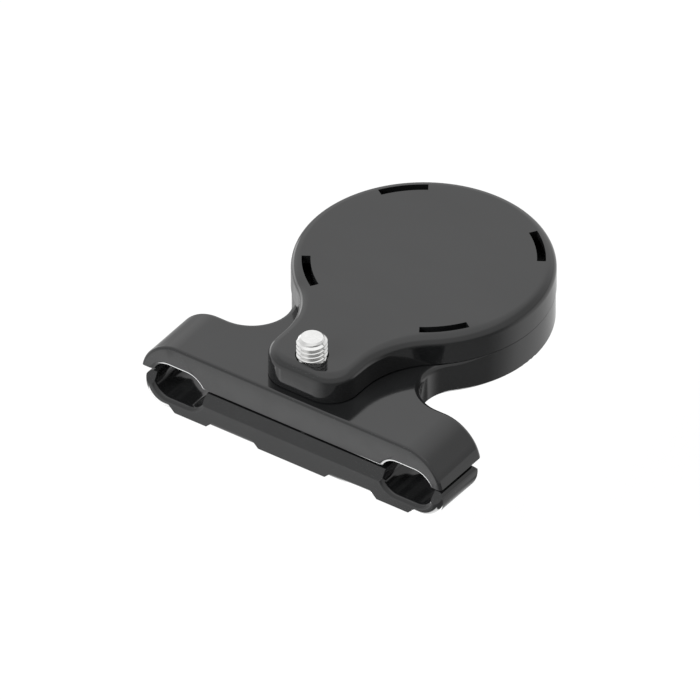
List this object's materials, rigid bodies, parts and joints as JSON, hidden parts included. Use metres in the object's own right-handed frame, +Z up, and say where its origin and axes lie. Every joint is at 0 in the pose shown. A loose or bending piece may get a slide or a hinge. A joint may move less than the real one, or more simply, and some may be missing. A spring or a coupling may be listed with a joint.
{
  "type": "saddle tracker mount",
  "caption": "Black bicycle saddle-rail clamp with two rail channels, a bolt and a round keyhole-lidded tray behind it that holds a coin-shaped tracker.",
  "frame": {"origin": "on the bolt's axis, midway between the two rail channels and at the underside of the upper jaw", "axes": "+X along the jaws to the right rail as seen from the front, +Y back along the rails to the tray, +Z up through the cover"},
  "size_m": [0.0578, 0.0574, 0.0227],
  "materials": {
    "moulding": "smooth black, glossy",
    "stainless": "bright plain stainless"
  },
  "bodies": {
    "base": {"tray_base": "moulding", "clamp_nut": "stainless"},
    "cover": {"tray_cover": "moulding"},
    "jaw": {"lower_jaw": "moulding"},
    "bolt": {"clamp_bolt": "stainless"}
  },
  "joints": [
    {"name": "cover_lift", "type": "slide", "parent": "base", "child": "cover", "axis": [0, 0, 1], "range_m": [0, 0.014]},
    {"name": "jaw_open", "type": "slide", "parent": "base", "child": "jaw", "axis": [0, 0, 1], "range_m": [-0.008, 0.00149]},
    {"name": "bolt_turn", "type": "hinge", "parent": "jaw", "child": "bolt", "pos_m": [0, 0, 0], "axis": [0, 0, 1], "range_deg": [-3601, 671.5]}
  ],
  "couplings": [
    {"joint": "bolt_turn", "follows": "jaw_open", "rad_per_m": 7854}
  ]
}
